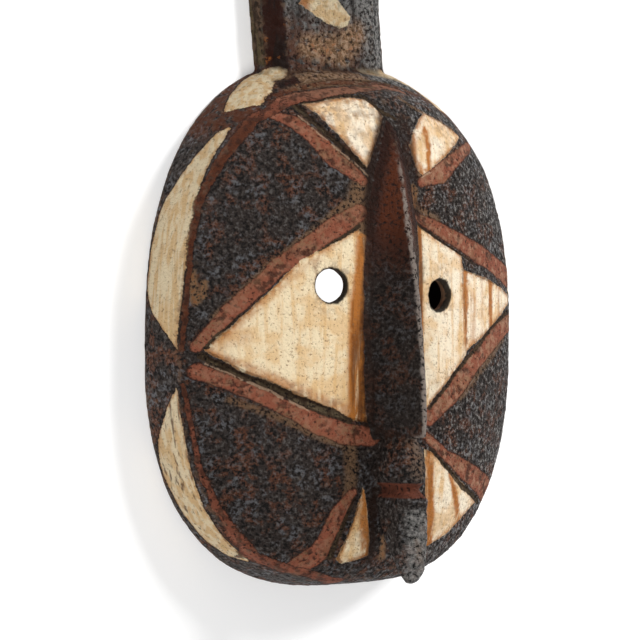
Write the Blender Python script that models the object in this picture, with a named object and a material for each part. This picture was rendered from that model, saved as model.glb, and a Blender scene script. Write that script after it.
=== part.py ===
"""A plank mask of carved and painted wood, lying on its back.

The oval face, its nose, mouth and beard and the plank above it are one piece of wood, so they
are one solid. It lies on the rim of the hollow face and on the back of the plank, at z = 0.
+Z is the way the face looks, +Y runs up the plank, and the origin is under the middle of the
mask's box. Heights along the mask are measured from the waist, the line where the face is widest.
"""

import math

import bmesh
import bpy
from mathutils import Matrix, Vector

# Driving dimensions, in metres
LENGTH = 0.800  # from the chin's end of the rim to the top of the plank
RIM_HALF_WIDTH = 0.1290
RIM_UP = 0.176  # from the waist to the top of the rim
RIM_DOWN = 0.1495  # from the waist to the bottom of the rim
ROUNDNESS = 2.4  # exponent of the ovals, where 2 is an ellipse
EDGE_HALF_WIDTH = 0.1250  # the edge where the side wall turns into the face
EDGE_UP = 0.160
EDGE_DOWN = 0.1455
EDGE_HEIGHT = 0.033  # of that edge above the rim, at the waist
EDGE_RISE_UP = 0.010  # how much higher it is at the forehead
EDGE_RISE_DOWN = 0.011  # and at the chin
CROWN = 0.0785  # height of the face above the rim, along its middle
CHIN_FALL = 0.0035  # by which the middle is lower at the chin
SECTION_ARC = 0.67  # sine of half the angle that the face's cross section turns through
WALL_BULGE = 0.0020
FOREHEAD_BULGE = 0.0040  # what the bulge of the wall gains under the plank

WALL = 0.0085  # thickness of the wood
RIM_WALL = 0.0110
TOP_WALL = 0.0140  # under the plank

# Each eye as its place across and along the face, and its bore
EYES = ((-0.0415, 0.0364, 0.0205), (0.0396, 0.0310, 0.0193))

NOSE_TOP = 0.1375
NOSE_BOTTOM = -0.0560
NOSE_TOP_X = 0.0045  # the nose leans: its top stands this far to one side
NOSE_TOP_HEIGHT = 0.0700
NOSE_RISE = 0.0425
NOSE_RISE_POWER = 1.8
NOSE_RIDGE = 0.0017  # half the width of the ridge
NOSE_FOOT = 0.0222  # half the width of the spread foot, where it is widest
NOSE_END = 0.0064  # half the width of the foot at the lower end
NOSE_BODY = 0.62  # share of the foot that belongs to its flat sides

LIP_TOP = NOSE_BOTTOM + 0.0005
MOUTH = -0.0872  # middle of the slit between the lips
MOUTH_HALF_HEIGHT = 0.0043
MOUTH_DEPTH = 0.0058
BEARD_FREE = -0.0960  # where the beard leaves the face
BEARD_TIP = -0.1442
BEARD_HALF_WIDTH = 0.0098
LIP_FRONT = 0.1065
BEARD_FRONT = 0.1040
BEARD_TURN = 0.22  # rise of its front from the left corner to the right one, per width

PLANK_BASE = 0.1635  # inside the wall of the forehead
NECK_HALF_WIDTH = 0.0469
PLANK_HALF_WIDTH = 0.0640  # at the top
NECK_MIDDLE = -0.0012
NECK_LEAN = -0.0067  # the plank's middle stands this much farther to the side than its neck's
RIGHT_SHARE = 0.93  # its right half is this much narrower than its left one
SIDE_THICKNESS = 0.0125
NECK_THICKNESS = 0.0255
TOP_THICKNESS = 0.0180
TOP_NOTCH = 0.0180  # depth of the crescent at the top of the plank

GROOVE_HALF_WIDTH = 0.0016
GROOVE_DEPTH = 0.0016
GROOVE_STEP = 0.007  # between the sections of a groove
# Grooves cut into the face along its pattern, each through points across and along it
FACE_GROOVES = (
    ((-0.0518, 0.1468), (-0.0371, 0.1268), (-0.0150, 0.1041)),
    ((-0.1130, -0.0056), (-0.0726, -0.0269), (-0.0324, -0.0404), (-0.0200, -0.0465)),
    ((-0.0222, -0.0914), (-0.0329, -0.1119), (-0.0350, -0.1272)),
    ((-0.0077, 0.1547), (0.0035, 0.1405)),
    ((0.1170, 0.0210), (0.0685, -0.0050), (0.0300, -0.0355)),
)
# The groove under the lowest lozenge of the plank, and the step up to the next one
PLANK_GROOVE = ((-0.0380, 0.2042), (-0.0238, 0.2005), (-0.0126, 0.1965), (0.0025, 0.1960))
LOZENGE_STEP = 0.112
LOZENGES = 4

AROUND = 88  # points around each oval
WAIST_Y = -LENGTH / 2 + RIM_DOWN
PLANK_TOP = LENGTH - RIM_DOWN


def clear_scene():
    for obj in list(bpy.data.objects):
        bpy.data.objects.remove(obj, do_unlink=True)


def lerp(a, b, t):
    return a + (b - a) * t


def smooth(t):
    t = min(max(t, 0.0), 1.0)
    return t * t * (3 - 2 * t)


def oval(half_width, up, down, angle):
    """A point of a superellipse about the waist's middle."""
    c, s = math.cos(angle), math.sin(angle)
    power = 2 / ROUNDNESS
    x = half_width * math.copysign(abs(c) ** power, c)
    y = (up if s > 0 else down) * math.copysign(abs(s) ** power, s)
    return x, y


def edge_half_width(y):
    """Half the width of the face at y, between the edges where it meets the side wall."""
    reach = min(abs(y) / (EDGE_UP if y > 0 else EDGE_DOWN), 1.0)
    return EDGE_HALF_WIDTH * (1 - reach**ROUNDNESS) ** (1 / ROUNDNESS)


def edge_height(y):
    reach = min(abs(y) / (EDGE_UP if y > 0 else EDGE_DOWN), 1.0)
    if y > 0:
        return EDGE_HEIGHT + EDGE_RISE_UP * reach**1.5
    return EDGE_HEIGHT + EDGE_RISE_DOWN * reach**4


def middle_height(y):
    """Height of the face along its middle: nearly level, with a round shoulder at each end."""
    end = edge_height(math.copysign(1.0, y))
    if y > 0:
        return end + (CROWN - end) * (1 - min(y / EDGE_UP, 1.0) ** 5) ** 0.45
    down = min(-y / EDGE_DOWN, 1.0)
    return end + (CROWN - CHIN_FALL * down - end) * (1 - down**4.5) ** 0.45


def face_height(x, y):
    """Height of the face: across, an arc from edge to edge that rises to the middle."""
    half_width = edge_half_width(y)
    low = edge_height(y)
    if half_width < 1e-6:
        return low
    across = min(abs(x) / half_width, 1.0)
    floor = math.sqrt(1 - SECTION_ARC**2)
    arc = (math.sqrt(1 - (SECTION_ARC * across) ** 2) - floor) / (1 - floor)
    return low + (middle_height(y) - low) * arc


def face_tilt(x):
    """Angle by which the face turns away from straight ahead at x."""
    return math.asin(SECTION_ARC * x / EDGE_HALF_WIDTH)


def new_object(name, bm):
    bmesh.ops.recalc_face_normals(bm, faces=bm.faces)
    mesh = bpy.data.meshes.new(name)
    bm.to_mesh(mesh)
    bm.free()
    obj = bpy.data.objects.new(name, mesh)
    bpy.context.scene.collection.objects.link(obj)
    return obj


def helper(obj):
    obj.hide_render = True
    obj.display_type = "WIRE"
    return obj


def add_ring(bm, points):
    """The vertices of a closed loop through points given as x, y and z from the waist."""
    return [bm.verts.new((x, y + WAIST_Y, z)) for x, y, z in points]


def bridge(bm, rings):
    """Bands of faces from each ring to the next, all of one number of points."""
    for near, far in zip(rings, rings[1:]):
        corners = zip(near, near[1:] + near[:1], far[1:] + far[:1], far)
        for corner in corners:
            bm.faces.new(corner)


def loft(name, sections):
    """A closed solid through rings of points, with a flat cap on each end."""
    bm = bmesh.new()
    rings = [add_ring(bm, section) for section in sections]
    bridge(bm, rings)
    bm.faces.new(rings[0])
    bm.faces.new(rings[-1])
    return new_object(name, bm)


def face_ring(ratio):
    """A ring of the face's front, at a share of the way from the middle to the edge."""
    points = []
    for i in range(AROUND):
        x, y = oval(EDGE_HALF_WIDTH, EDGE_UP, EDGE_DOWN, math.tau * i / AROUND)
        points.append((ratio * x, ratio * y, face_height(ratio * x, ratio * y)))
    return points


def wall_ring(share):
    """A ring of the side wall, from the rim at 0 to the edge of the face at 1, bulging a little."""
    points = []
    for i in range(AROUND):
        angle = math.tau * i / AROUND
        low = Vector((*oval(RIM_HALF_WIDTH, RIM_UP, RIM_DOWN, angle), 0))
        x, y = oval(EDGE_HALF_WIDTH, EDGE_UP, EDGE_DOWN, angle)
        high = Vector((x, y, edge_height(y)))
        bulge = WALL_BULGE * abs(math.cos(angle)) + FOREHEAD_BULGE * max(math.sin(angle), 0) ** 2
        outward = Vector((low.x, low.y, 0)).normalized()
        points.append(low.lerp(high, share) + outward * bulge * 4 * share * (1 - share))
    return points


def hollow_ring(ratio):
    """A ring of the hollow, under the ring of the face with the same ratio."""
    points = []
    for i in range(AROUND):
        angle = math.tau * i / AROUND
        outer = oval(EDGE_HALF_WIDTH, EDGE_UP, EDGE_DOWN, angle)
        x, y = oval(EDGE_HALF_WIDTH - WALL, EDGE_UP - RIM_WALL, EDGE_DOWN - RIM_WALL, angle)
        height = face_height(ratio * outer[0], ratio * outer[1]) - WALL
        points.append((ratio * x, ratio * y, height))
    return points


def hollow_mouth():
    """The hollow's opening, in the plane that the mask lies on."""
    points = []
    for i in range(AROUND):
        angle = math.tau * i / AROUND
        x, y = oval(RIM_HALF_WIDTH - RIM_WALL, RIM_UP - TOP_WALL, RIM_DOWN - RIM_WALL, angle)
        points.append((x, y, 0.0))
    return points


def make_face():
    """The hollow face, ring by ring from the middle of its front over the rim to the hollow."""
    bm = bmesh.new()
    front = [face_ring(r) for r in (0.08, 0.22, 0.36, 0.49, 0.61, 0.72, 0.81, 0.885, 0.94, 0.978, 1)]
    side = [wall_ring(s) for s in (0.75, 0.4, 0)]
    inside = [hollow_ring(r) for r in (1, 0.95, 0.88, 0.77, 0.63, 0.47, 0.30, 0.13)]
    rings = [add_ring(bm, points) for points in front + side + [hollow_mouth()] + inside]
    bridge(bm, rings)
    for ring, height in ((rings[0], face_height(0, 0)), (rings[-1], face_height(0, 0) - WALL)):
        middle = bm.verts.new((0, WAIST_Y, height))
        for near, far in zip(ring, ring[1:] + ring[:1]):
            bm.faces.new((near, far, middle))
    return new_object("mask", bm)


def nose_section(share):
    """The nose at a share of the way down: a thin fin on a foot that spreads over the face."""
    y = lerp(NOSE_TOP, NOSE_BOTTOM, share)
    middle = NOSE_TOP_X * (1 - share)
    top = NOSE_TOP_HEIGHT + NOSE_RISE * (1 - (1 - share) ** NOSE_RISE_POWER)
    swell = math.sqrt(smooth(share / 0.42)) * (1 - 0.3 * smooth((share - 0.5) / 0.44))
    foot = max(NOSE_FOOT * swell, NOSE_RIDGE + 0.001)
    foot = lerp(foot, NOSE_END, smooth((share - 0.94) / 0.06))
    body = foot * lerp(NOSE_BODY, 1.0, smooth((share - 0.94) / 0.06))
    spread = lerp(1.3, 3.6, smooth(share / 0.55))
    left, right = [], []
    for up in (1.0, 0.8, 0.58, 0.36, 0.2, 0.09, 0.0):
        width = lerp(body, NOSE_RIDGE, up) + (foot - body) * (1 - up) ** spread
        for side, points in ((-1, left), (1, right)):
            x = middle + side * width
            ground = face_height(x, y)
            height = lerp(ground - 0.0006, max(top, ground + 0.0004), up)
            points.append((x, y, height))
    buried = face_height(middle, y) - 0.5 * WALL
    root = [(middle - 0.6 * foot, y, buried), (middle + 0.6 * foot, y, buried)]
    return left + root + right[::-1]


def make_nose():
    shares = (0.0, 0.05, 0.11, 0.17, 0.24, 0.32, 0.4, 0.5, 0.6, 0.7, 0.8, 0.88, 0.94, 0.97, 1.0)
    return helper(loft("nose", [nose_section(s) for s in shares]))


def bar_section(y, half_width, front, back, keel):
    """A section of the lips or the beard. The keel narrows its front into a blunt ridge."""
    corner = 0.45 * half_width
    tip = half_width * (1 - 0.62 * keel)
    drop = lerp(corner, 2.2 * corner, keel)
    left = [
        (-0.4 * tip, y, front),
        (-0.85 * tip, y, front - 0.25 * drop),
        (-lerp(half_width, tip, 0.4), y, front - 0.75 * drop),
        (-half_width, y, front - 1.5 * drop),
        (-half_width, y, min(back + 0.0015, front - 1.6 * drop)),
        (-0.6 * half_width, y, back),
    ]
    return left + [(-x, y, z) for x, _, z in reversed(left)]


def make_lips():
    """Both lips in one run, drawn in at the slit that parts them round the front and sides."""
    inside = face_height(0, MOUTH) - 0.5 * WALL
    upper_lip, lower_lip = MOUTH + MOUTH_HALF_HEIGHT, MOUTH - MOUTH_HALF_HEIGHT
    rows = (
        (LIP_TOP, 0.62, -0.0085, 0.0),
        (NOSE_BOTTOM - 0.0060, 0.86, -0.0055, 0.05),
        (NOSE_BOTTOM - 0.0150, 1.0, -0.0024, 0.22),
        (upper_lip, 1.0, 0.0, 0.5),
        (lerp(upper_lip, lower_lip, 0.3), 0.62, -MOUTH_DEPTH, 0.3),
        (lerp(upper_lip, lower_lip, 0.6), 0.64, -MOUTH_DEPTH, 0.2),
        (lower_lip, 1.0, 0.0004, 0.1),
        (BEARD_FREE, 0.97, -0.0010, 0.0),
    )
    sections = [
        bar_section(y, BEARD_HALF_WIDTH * width, LIP_FRONT + forward, inside, keel)
        for y, width, forward, keel in rows
    ]
    return helper(loft("lips", sections))


def make_beard():
    """The beard, which hangs free of the chin: its back slopes forward to the tip."""
    root = face_height(0, BEARD_FREE) - 0.3 * WALL
    rows = (
        (BEARD_FREE + 0.0050, 1.0, 0.0, 0.0),
        (BEARD_FREE - 0.0020, 0.98, 0.0, 0.04),
        (BEARD_FREE - 0.0120, 1.02, 0.0004, 0.13),
        (BEARD_FREE - 0.0240, 1.03, 0.0, 0.37),
        (BEARD_FREE - 0.0330, 0.98, -0.0008, 0.58),
        (BEARD_FREE - 0.0400, 0.84, -0.0020, 0.72),
        (BEARD_FREE - 0.0450, 0.62, -0.0036, 0.84),
        (BEARD_TIP, 0.30, -0.0060, 0.93),
    )
    sections = []
    for y, width, forward, lean in rows:
        front = BEARD_FRONT + forward
        back = min(lerp(root, BEARD_FRONT - 0.0030, lean), front - 0.0040)
        corner = 0.22 * min(front - back, 2 * BEARD_HALF_WIDTH)
        half = BEARD_HALF_WIDTH * width
        left = [
            (-0.45 * half, front),
            (-0.85 * half, front - 0.35 * corner),
            (-half, front - 1.3 * corner),
            (-half, back + 1.1 * corner),
            (-0.80 * half, back + 0.3 * corner),
            (-0.35 * half, back),
        ]
        outline = left + [(-x, z) for x, z in reversed(left)]
        turned = [(x, y, z + BEARD_TURN * x * (z > back + 2 * corner)) for x, z in outline]
        sections.append(turned)
    return helper(loft("beard", sections))


def plank_section(y, half_width, thickness, middle):
    """The plank across: a thin side, a bevel, and a front that is rounded a little."""
    side = min(SIDE_THICKNESS, 0.62 * thickness)
    left = [
        (-half_width, 0.0),
        (-half_width, side),
        (-0.76 * half_width, 0.92 * thickness),
        (-0.25 * half_width, thickness),
    ]
    right = [
        (0.25 * half_width, 0.985 * thickness),
        (0.66 * half_width, 0.86 * thickness),
        (RIGHT_SHARE * half_width, side),
        (RIGHT_SHARE * half_width, 0.0),
    ]
    return [(middle + x, y, z) for x, z in left + right]


def plank_measures(y):
    """Half width, thickness and middle of the plank at y."""
    rise = (y - RIM_UP) / (PLANK_TOP - RIM_UP)
    half_width = lerp(NECK_HALF_WIDTH, PLANK_HALF_WIDTH, smooth(1.15 * rise))
    thickness = lerp(NECK_THICKNESS, TOP_THICKNESS, smooth(1.6 * rise))
    middle = NECK_MIDDLE + NECK_LEAN * smooth((y - PLANK_BASE) / 0.074)
    return half_width, thickness, middle


def make_plank():
    count = 13
    sections = []
    for i in range(count):
        y = lerp(PLANK_BASE, PLANK_TOP, i / (count - 1))
        sections.append(plank_section(y, *plank_measures(y)))
    return helper(loft("plank", sections))


def make_top_notch():
    """A wide drum, turned across the plank, that cuts its top to a crescent."""
    half_width = 0.5 * (1 + RIGHT_SHARE) * PLANK_HALF_WIDTH
    radius = (half_width**2 + TOP_NOTCH**2) / (2 * TOP_NOTCH)
    bm = bmesh.new()
    bmesh.ops.create_cone(bm, cap_ends=True, segments=96, radius1=radius, radius2=radius, depth=0.1)
    obj = new_object("top_notch", bm)
    across = NECK_MIDDLE + NECK_LEAN + half_width - PLANK_HALF_WIDTH
    obj.location = (across, WAIST_Y + PLANK_TOP - TOP_NOTCH + radius, 0)
    return helper(obj)


def make_eye(index):
    """A bore square to the face."""
    x, y, bore = EYES[index]
    bm = bmesh.new()
    bmesh.ops.create_cone(
        bm, cap_ends=True, segments=28, radius1=bore / 2, radius2=bore / 2, depth=6 * WALL
    )
    turn = Matrix.Rotation(face_tilt(x), 4, "Y")
    place = Matrix.Translation((x, y + WAIST_Y, face_height(x, y)))
    bmesh.ops.transform(bm, matrix=place @ turn, verts=bm.verts)
    return helper(new_object(f"eye_{index + 1}", bm))


def plank_height(x, y):
    """Height of the plank's front."""
    half_width, thickness, middle = plank_measures(y)
    front = plank_section(y, half_width, thickness, middle)[1:-1]
    for (near, _, low), (far, _, high) in zip(front, front[1:]):
        if near <= x <= far:
            return lerp(low, high, (x - near) / (far - near))
    return thickness


def groove_sections(points, height):
    """Sections of a cutter that follows the surface through points across and along it."""
    path = []
    for start, end in zip(points, points[1:]):
        steps = max(2, round(math.dist(start, end) / GROOVE_STEP))
        path += [Vector(start).lerp(Vector(end), i / steps) for i in range(steps)]
    path.append(Vector(points[-1]))
    sections = []
    for i, spot in enumerate(path):
        along = (path[min(i + 1, len(path) - 1)] - path[max(i - 1, 0)]).normalized()
        aside = Vector((along.y, -along.x)) * GROOVE_HALF_WIDTH
        ring = []
        for share, lift in ((-1.4, 1), (1.4, 1), (0.4, -1), (-0.4, -1)):
            x, y = spot + aside * share
            ring.append((x, y, height(x, y) + lift * GROOVE_DEPTH))
        sections.append(ring)
    return sections


def make_grooves():
    """All the grooves in one cutter, whose pieces stand clear of each other."""
    runs = [groove_sections(points, face_height) for points in FACE_GROOVES]
    for i in range(LOZENGES):
        raised = [(x, y + i * LOZENGE_STEP) for x, y in PLANK_GROOVE]
        runs.append(groove_sections(raised, plank_height))
    bm = bmesh.new()
    for sections in runs:
        rings = [add_ring(bm, section) for section in sections]
        bridge(bm, rings)
        bm.faces.new(rings[0])
        bm.faces.new(rings[-1])
    return helper(new_object("grooves", bm))


def join(body, other, operation):
    step = body.modifiers.new(other.name, "BOOLEAN")
    step.operation = operation
    step.object = other
    step.solver = "EXACT"


def painted_wood():
    material = bpy.data.materials.new("painted_wood")
    material.use_nodes = True
    shader = material.node_tree.nodes["Principled BSDF"]
    shader.inputs["Base Color"].default_value = (0.13, 0.085, 0.06, 1)
    shader.inputs["Roughness"].default_value = 0.75
    shader.inputs["Metallic"].default_value = 0.0
    material.diffuse_color = (0.13, 0.085, 0.06, 1)
    return material


def main():
    clear_scene()
    mask = make_face()
    mask.data.materials.append(painted_wood())
    for part in (make_plank(), make_nose(), make_lips(), make_beard()):
        join(mask, part, "UNION")
    for cutter in (make_eye(0), make_eye(1), make_top_notch(), make_grooves()):
        join(mask, cutter, "DIFFERENCE")
    mask.data.shade_smooth()
    mask.data.set_sharp_from_angle(angle=math.radians(35))


main()
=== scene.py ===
# %% [markdown]
# # A painted plank mask
# The real mask is carved from one piece of light wood: a domed oval face that is hollow behind,
# a thin nose, a mouth with a beard that hangs free, and a plank above. It is painted with earth
# colours in a flat pattern of triangles and bands. It lies on its back on a pale lit board, and
# the camera looks down on it. The CAD solid brings the true form, and this script adds the worn
# surface and the paint.

import math

import bpy
import numpy as np
from mathutils import Matrix, Vector


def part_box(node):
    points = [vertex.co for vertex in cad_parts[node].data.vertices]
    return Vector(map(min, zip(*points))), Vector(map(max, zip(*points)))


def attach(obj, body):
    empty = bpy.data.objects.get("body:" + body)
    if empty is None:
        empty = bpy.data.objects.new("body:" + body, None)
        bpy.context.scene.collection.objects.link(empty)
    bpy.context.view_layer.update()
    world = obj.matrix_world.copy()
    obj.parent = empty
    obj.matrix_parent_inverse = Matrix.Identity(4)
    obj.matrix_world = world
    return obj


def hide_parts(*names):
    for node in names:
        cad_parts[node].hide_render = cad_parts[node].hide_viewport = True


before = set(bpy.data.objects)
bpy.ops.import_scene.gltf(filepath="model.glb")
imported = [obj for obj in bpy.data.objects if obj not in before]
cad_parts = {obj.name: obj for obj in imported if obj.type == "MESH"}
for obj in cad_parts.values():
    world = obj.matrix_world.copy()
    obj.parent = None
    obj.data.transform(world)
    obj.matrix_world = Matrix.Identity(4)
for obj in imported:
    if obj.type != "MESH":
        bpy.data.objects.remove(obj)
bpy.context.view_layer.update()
MM = 0.001
low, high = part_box("mask")
print("CAD box in mm:", [round((b - a) / MM, 1) for a, b in zip(low, high)])

# %% [markdown]
# ## The shape as formulas
# The pattern lies on the dome of the face, so the script needs the same formulas that shape the
# solid: how high the face is at a place, and how high its edge is, where the side wall begins.
# Places are given across and along the mask from the waist, its widest line.

# %% Formulas of the face
WAIST = -0.2505
ROUNDNESS = 2.4
EDGE_HALF_WIDTH, EDGE_UP, EDGE_DOWN = 0.1250, 0.160, 0.1455
RIM_HALF_WIDTH, RIM_UP = 0.1290, 0.176
EDGE_HEIGHT, EDGE_RISE_UP, EDGE_RISE_DOWN = 0.033, 0.010, 0.011
CROWN, CHIN_FALL, SECTION_ARC = 0.0785, 0.0035, 0.67
WALL = 0.0085


def edge_height(y):
    up, down = np.clip(y / EDGE_UP, 0, 1), np.clip(-y / EDGE_DOWN, 0, 1)
    return EDGE_HEIGHT + EDGE_RISE_UP * up**1.5 + EDGE_RISE_DOWN * down**4


def face_height(x, y):
    up, down = np.clip(y / EDGE_UP, 0, 1), np.clip(-y / EDGE_DOWN, 0, 1)
    brow, chin = EDGE_HEIGHT + EDGE_RISE_UP, EDGE_HEIGHT + EDGE_RISE_DOWN
    upper = brow + (CROWN - brow) * (1 - up**5) ** 0.45
    lower = chin + (CROWN - CHIN_FALL * down - chin) * (1 - down**4.5) ** 0.45
    middle = np.where(y > 0, upper, lower)
    half_width = EDGE_HALF_WIDTH * (1 - np.maximum(up, down) ** ROUNDNESS) ** (1 / ROUNDNESS)
    across = np.clip(np.abs(x) / np.maximum(half_width, 1e-6), 0, 1)
    floor = math.sqrt(1 - SECTION_ARC**2)
    arc = (np.sqrt(1 - (SECTION_ARC * across) ** 2) - floor) / (1 - floor)
    return edge_height(y) + (middle - edge_height(y)) * arc


def oval_share(x, y, half_width, up, down):
    """How far out a place is in an oval: 0 at its middle and 1 on its line."""
    reach = np.abs(y) / np.where(y > 0, up, down)
    return ((np.abs(x) / half_width) ** ROUNDNESS + reach**ROUNDNESS) ** (1 / ROUNDNESS)


print("face height at the middle:", round(float(face_height(0.0, 0.0)) / MM, 1), "mm")

# %% [markdown]
# ## The pattern as lines and corners
# The painter scratched the outlines with a blade, filled triangles with white earth, and drew red
# bands beside them. So each white field is a polygon, and each band or scratch is a line through
# points with a half width at each one, all in millimetres. Drawing them as formulas keeps their
# edges crisp at any distance, which a picture of the paint would not.

# %% White fields, as corners
FIELDS = {
    "forehead left": ((-47.7, 146.8), (-37, 149.5), (-18.2, 151.1), (-9.9, 150.5), (-4.4, 147.2),
                      (0.7, 139), (-10.5, 118.7), (-16.5, 107.4)),
    "eye left": ((-113, -2.6), (-61.2, 51.1), (-29.6, 68.2), (-24.2, 70), (-14.5, 65.3),
                 (-13.8, -46.7), (-27.7, -44.7), (-94.7, -14)),
    "wedge left": ((-18.6, -85.4), (-28.7, -128.6), (-24.6, -132.1), (-7.4, -127.3), (-12.1, -108.7),
                   (-16.3, -88.5)),
    "forehead right": ((37.7, 143.4), (59, 136), (72.6, 129.9), (69.4, 126.9), (43.3, 113),
                       (27.1, 104), (23.1, 106.7), (18.3, 116.4), (18, 122.5), (20.4, 128.1),
                       (30.1, 139)),
    "eye right near": ((18.9, 73.6), (60.3, 55.5), (65.3, -5.9), (27.7, -38.7), (18.4, -33.1)),
    "eye right far": ((60.3, 55.5), (106.7, 37), (120.1, 34), (120.8, 26.4), (116.8, 22.6),
                      (96.1, 12.2), (65.3, -5.9)),
    "wedge right": ((26.8, -62.6), (33.9, -65.2), (88.7, -98.4), (90.9, -102.7), (78.6, -107.7),
                    (57.7, -116), (43, -124.9), (34.6, -124.5)),
}
NOSE_PAINT = ((2.2, 137.5), (-10.9, 107.2), (-17.2, 80), (-20.2, 45.9), (-20.4, 20), (-19.8, -15),
              (-17.4, -44.8), (-13.6, -57), (15, -57), (19, -30), (19, 60), (13, 110), (8, 130))
LOZENGE = ((-30.6, 209.6), (-22.4, 204.2), (-11.8, 199.1), (-0.5, 195.9), (4.8, 197.9), (7, 203.2),
           (-3.5, 214.5), (-14, 223), (-27, 218))
LOZENGE_STEP = 112
print(len(FIELDS), "white fields on the face, and a lozenge every", LOZENGE_STEP, "mm up the plank")

# %% Red bands and scratched lines, as points with half widths
BANDS = {
    "forehead left": ((-67.3, 140.1, 3.3), (-55.8, 134.3, 5), (-37.3, 113.7, 6.1), (-19.8, 99.7, 3.8)),
    "eye left top": ((-22.9, 80.3, 6), (-44.1, 68.4, 7.1), (-73.9, 46.6, 5.6), (-100.5, 19.9, 5.5),
                     (-116.6, -0.8, 3.8)),
    "eye left bottom": ((-116, -15.1, 5.2), (-95.6, -23.7, 5), (-71.5, -35.6, 4.9), (-48.9, -47.2, 6.5),
                        (-30.4, -53.4, 7.1), (-14.3, -55.1, 6.7)),
    "wedge left": ((-25.1, -88.6, 3.2), (-32.2, -100.3, 6.1), (-37.7, -114.3, 5.8), (-41.1, -125.3, 7),
                   (-49, -134, 7.7)),
    "forehead right": ((24.6, 99.7, 3.7), (43.9, 106, 6.8), (62.7, 116.6, 5), (85.1, 124.8, 3.2)),
    "eye right top": ((16.6, 80.3, 3.2), (36.9, 72.1, 4.7), (76.9, 57.6, 6.5), (119.8, 42.8, 6.8)),
    "eye right bottom": ((123.9, 15, 5.8), (103.7, 7.5, 6.9), (75.4, -8.5, 7.6), (55.3, -25.9, 7.7),
                         (30.4, -44.3, 5.9)),
    "wedge right": ((28.2, -54.9, 3.2), (47.4, -67.6, 4.2), (67.8, -77.2, 6.6), (100.2, -90.4, 8.3)),
}
ARCS = {
    "edge up": ((34, 156, 1.2), (19.4, 159.3, 1.2), (-5.5, 156.9, 1.6), (-20.2, 155.4, 2.2),
                (-45.6, 151, 2.6), (-57.9, 146.8, 2.6), (-76.1, 137, 2.4), (-87.2, 125.3, 2.4),
                (-95.5, 115.6, 2.2), (-103.3, 104, 1.9), (-109, 93.8, 1.4), (-113, 83.7, 1.2),
                (-118.6, 60.3, 1), (-123.4, -2.3, 0.9)),
    "edge down": ((-122.7, -23.2, 0.9), (-112.9, -70.4, 1.1), (-99.9, -97.1, 1.7), (-87.1, -113.9, 2),
                  (-74.7, -126.3, 2.1), (-51.3, -135.9, 1.8), (-16, -144.4, 1.6)),
}
CUTS = {
    "forehead left": ((-52, 145.8, 2.3), (-48.1, 139.3, 2), (-39.5, 128.5, 1.9), (-17.6, 107.4, 1.1)),
    "forehead top": ((-47.6, 147.7, 1.1), (-23.9, 152, 1), (-10.7, 151.9, 0.9), (-4.3, 148.2, 1),
                     (1.7, 140.9, 1.1)),
    "eye left bottom": ((-114.2, -6.2, 2.2), (-95.2, -16.4, 1.9), (-73.4, -26.3, 2.2),
                        (-54.7, -35.1, 3.2), (-28.7, -45, 2.1)),
    "eye left top": ((-23.5, 72.2, 1.2), (-38.8, 62.8, 0.9), (-49.6, 57, 0.4)),
    "eye left tip": ((-94.3, 19, 0.4), (-112.2, -1.1, 1.2)),
    "wedge left": ((-23.1, -92.6, 0.8), (-27.4, -102.9, 1.2), (-30.3, -113.8, 1.3), (-32.9, -127, 2)),
    "eye right bottom": ((118.7, 21, 1.4), (94.1, 9.8, 1.2), (65.4, -8.7, 1.2), (30.7, -38.5, 0.9)),
    "eye right top": ((20.1, 74.4, 0.9), (38.5, 65, 0.9), (74.8, 50.2, 0.6)),
    "wedge right": ((32, -62.4, 0.9), (46.5, -73.8, 1.4), (66.7, -87.4, 1.7), (91.7, -97.6, 1.7)),
    "brow": ((-9.3, 153.1, 0.8), (1.6, 141.8, 1.3), (9.7, 138, 0.9)),
}
LIT_LIPS = {
    "forehead left": ((-52.7, 138.9, 0.4), (-44.4, 127.9, 0.5), (-22.9, 109.1, 0.5), (-15.8, 102.8, 0.5)),
    "eye left bottom": ((-112.1, -10.7, 0.3), (-83, -24.5, 0.7), (-54.9, -39, 0.7)),
    "forehead right": ((38.7, 108.8, 0.5), (25.4, 102.5, 0.4)),
}
print(len(BANDS), "bands,", len(ARCS), "arcs,", len(CUTS), "dark cuts and", len(LIT_LIPS), "pale lips")

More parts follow.
